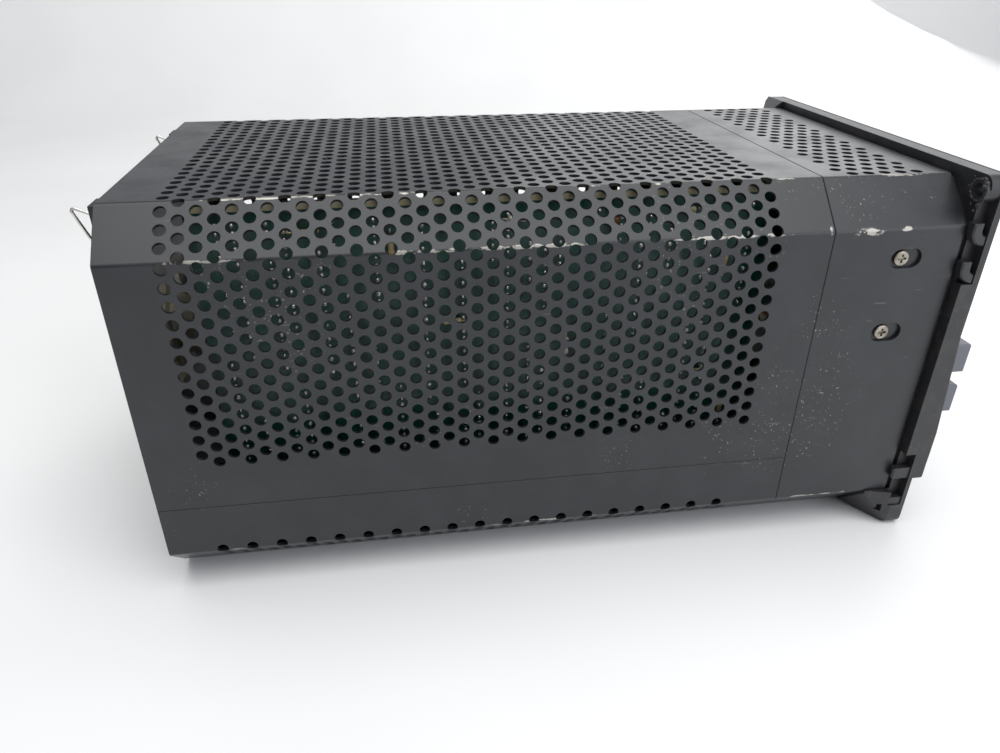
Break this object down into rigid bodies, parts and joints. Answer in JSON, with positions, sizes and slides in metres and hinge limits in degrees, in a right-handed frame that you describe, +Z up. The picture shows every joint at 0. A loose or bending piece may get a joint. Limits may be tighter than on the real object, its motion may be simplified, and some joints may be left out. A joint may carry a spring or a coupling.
{
  "type": "bench power supply",
  "caption": "Bench DC power supply in a perforated steel case with cut corners, a moulded front bezel, meters, knobs, push-buttons and binding posts.",
  "frame": {"origin": "centre of the whole footprint, on the surface that the supply stands on", "axes": "+Z up, the front panel faces -Y, +X to the right as seen from the front"},
  "size_m": [0.163, 0.3165, 0.1434],
  "materials": {
    "case_paint": "satin black stoved paint",
    "bare_steel": "zinc plated steel",
    "bezel_abs": "moulded black",
    "panel_paint": "dark grey painted aluminium",
    "button_grey": "moulded grey",
    "knob_plastic": "moulded black",
    "screw_nickel": "nickel plated",
    "meter_glass": "clear",
    "scale_white": "matt ivory",
    "needle_black": "matt",
    "board_green": "solder mask",
    "components": "mixed",
    "capacitor_sleeve": "shrink sleeve",
    "core_steel": "varnished laminations",
    "winding_tape": "polyester tape",
    "heat_sink_black": "black anodised",
    "rear_panel_paint": "black paint",
    "inlet_plastic": "moulded",
    "brass": "nickelled brass",
    "rubber_pad": "matt",
    "lamp_red": "tinted lens",
    "cap_red": "moulded red",
    "cap_green": "moulded green",
    "cap_black": "moulded black",
    "tinned_wire": "tinned copper",
    "fuse_glass": "clear"
  },
  "bodies": {
    "root": {"upper_cover": "case_paint", "lower_tray": "case_paint", "front_sleeve": "case_paint", "lap_band": "bare_steel", "side_rails": "heat_sink_black", "front_brackets": "bare_steel", "side_slot_screws": "screw_nickel", "front_bezel": "bezel_abs", "front_panel": "panel_paint", "voltmeter_case": "knob_plastic", "ammeter_case": "knob_plastic", "meter_scale_plates": "scale_white", "meter_windows": "meter_glass", "control_pots": "bare_steel", "hex_nuts": "screw_nickel", "push_switches": "inlet_plastic", "lamp_lenses": "lamp_red", "lamp_holders": "knob_plastic", "post_bases": "cap_black", "post_tubes": "brass", "control_board": "board_green", "board_components": "components", "spacer_posts": "brass", "chassis_plate": "bare_steel", "transformer_core": "core_steel", "transformer_winding": "winding_tape", "bobbin_flanges": "inlet_plastic", "transformer_clamp": "bare_steel", "clamp_screws": "screw_nickel", "reservoir_capacitors": "capacitor_sleeve", "capacitor_clamps": "bare_steel", "bridge_rectifier": "inlet_plastic", "regulator_board": "board_green", "board_brackets": "bare_steel", "board_heat_sink": "heat_sink_black", "rear_panel": "rear_panel_paint", "rear_screws": "screw_nickel", "rear_heat_sink": "heat_sink_black", "transistor_washers": "scale_white", "power_transistors": "bare_steel", "mains_inlet": "inlet_plastic", "inlet_pins": "brass", "fuse_holder": "inlet_plastic", "fuse": "fuse_glass", "sense_terminal_blocks": "inlet_plastic", "sense_wire_links": "tinned_wire", "earth_stud": "brass", "rear_pads": "rubber_pad"},
    "voltage_control": {"voltage_knob": "knob_plastic", "voltage_shaft": "bare_steel"},
    "current_control": {"current_knob": "knob_plastic", "current_shaft": "bare_steel"},
    "power_key": {"power_button": "button_grey"},
    "output_key": {"output_button": "button_grey"},
    "voltmeter_pointer": {"voltmeter_needle": "needle_black"},
    "ammeter_pointer": {"ammeter_needle": "needle_black"},
    "negative_clamp": {"negative_cap": "cap_black"},
    "earth_clamp": {"earth_cap": "cap_green"},
    "positive_clamp": {"positive_cap": "cap_red"},
    "fuse_carrier": {"fuse_cap": "inlet_plastic"}
  },
  "joints": [
    {"name": "voltage_turn", "type": "hinge", "parent": "root", "child": "voltage_control", "pos_m": [-0.008, -0.14775, 0.0573], "axis": [0, 1, 0], "range_deg": [-150, 150]},
    {"name": "current_turn", "type": "hinge", "parent": "root", "child": "current_control", "pos_m": [0.04, -0.14775, 0.0573], "axis": [0, 1, 0], "range_deg": [-150, 150]},
    {"name": "power_press", "type": "slide", "parent": "root", "child": "power_key", "axis": [0, 1, 0], "range_m": [0, 0.003], "stiffness_N_per_m": 400},
    {"name": "output_press", "type": "slide", "parent": "root", "child": "output_key", "axis": [0, 1, 0], "range_m": [0, 0.003], "stiffness_N_per_m": 400},
    {"name": "voltmeter_swing", "type": "hinge", "parent": "root", "child": "voltmeter_pointer", "pos_m": [-0.037, -0.14175, 0.0906], "axis": [0, 1, 0], "range_deg": [0, 80], "stiffness_Nm_per_rad": 0.0001},
    {"name": "ammeter_swing", "type": "hinge", "parent": "root", "child": "ammeter_pointer", "pos_m": [0.037, -0.14175, 0.0906], "axis": [0, 1, 0], "range_deg": [0, 80], "stiffness_Nm_per_rad": 0.0001},
    {"name": "negative_open", "type": "slide", "parent": "root", "child": "negative_clamp", "axis": [0, -1, 0], "range_m": [0, 0.004]},
    {"name": "earth_open", "type": "slide", "parent": "root", "child": "earth_clamp", "axis": [0, -1, 0], "range_m": [0, 0.004]},
    {"name": "positive_open", "type": "slide", "parent": "root", "child": "positive_clamp", "axis": [0, -1, 0], "range_m": [0, 0.004]},
    {"name": "fuse_cap_turn", "type": "hinge", "parent": "root", "child": "fuse_carrier", "pos_m": [0.01, 0.14925, 0.026], "axis": [0, 1, 0], "range_deg": [0, 60]}
  ]
}
